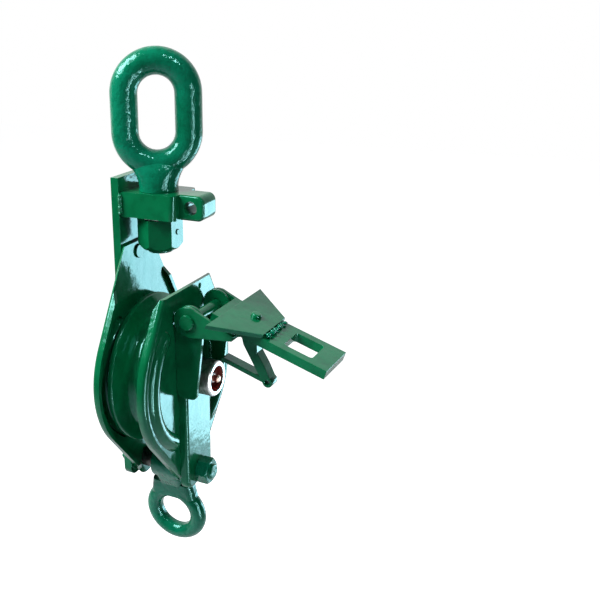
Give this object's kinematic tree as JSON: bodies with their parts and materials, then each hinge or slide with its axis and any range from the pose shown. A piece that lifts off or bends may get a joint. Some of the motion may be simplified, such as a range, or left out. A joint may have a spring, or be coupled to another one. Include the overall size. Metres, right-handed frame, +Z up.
{
  "type": "snatch block",
  "caption": "Side-opening pulley block for wire rope: grooved sheave between pressed side plates, swivelling oval eye, hinged gate standing open and a becket ring below.",
  "frame": {"origin": "crown of the eye's hole on the swivel axis, where a hook bears and the block hangs from", "axes": "+Z up the swivel axis, -Y out of the side that opens, +X to the right seen from that side; the axle runs along Y, the gate hinge along X"},
  "size_m": [0.174, 0.2513, 0.5183],
  "materials": {
    "green_paint": "glossy",
    "zinc": "satin",
    "bronze": "satin",
    "bright_plate": "satin"
  },
  "bodies": {
    "eye": {"swivel_eye": "green_paint", "swivel_washer": "zinc", "swivel_nut": "green_paint", "swivel_cross_pin": "green_paint"},
    "frame": {"crosshead": "green_paint", "back_cheek": "green_paint", "front_cheek": "green_paint", "back_strap": "green_paint", "front_strap": "green_paint", "left_hinge_lug": "green_paint", "right_hinge_lug": "green_paint", "hinge_pin": "green_paint", "back_side_washer": "zinc", "front_side_washer": "zinc", "axle": "zinc", "grease_nipple": "zinc", "axle_washer": "zinc", "axle_nut": "zinc", "lower_bolt": "green_paint", "lower_bolt_nut": "green_paint", "bolt_sleeve": "zinc", "strap_rivet": "green_paint", "nameplate": "bright_plate", "tenon_weld": "green_paint", "nameplate_rivet_1": "bright_plate", "nameplate_rivet_2": "bright_plate", "nameplate_rivet_3": "bright_plate", "nameplate_rivet_4": "bright_plate"},
    "wheel": {"sheave": "green_paint", "sheave_bush": "bronze"},
    "gate": {"gate_strap": "green_paint", "gate_yoke": "green_paint", "gate_cheek": "green_paint", "gate_rivet": "green_paint", "gate_weld": "green_paint", "gate_handle": "green_paint"},
    "becket_ring": {"becket": "green_paint"}
  },
  "joints": [
    {"name": "eye_swivel", "type": "hinge", "parent": "eye", "child": "frame", "pos_m": [0, 0, -0.1195], "axis": [0, 0, 1], "continuous": true},
    {"name": "sheave_spin", "type": "hinge", "parent": "frame", "child": "wheel", "pos_m": [0, 0, -0.292], "axis": [0, 1, 0], "continuous": true},
    {"name": "gate_hinge", "type": "hinge", "parent": "frame", "child": "gate", "pos_m": [0, -0.0465, -0.224], "axis": [-1, 0, 0], "range_deg": [0, 108]},
    {"name": "becket_swing", "type": "hinge", "parent": "frame", "child": "becket_ring", "pos_m": [0, 0, -0.397], "axis": [0, 1, 0], "range_deg": [-49, 61]}
  ]
}
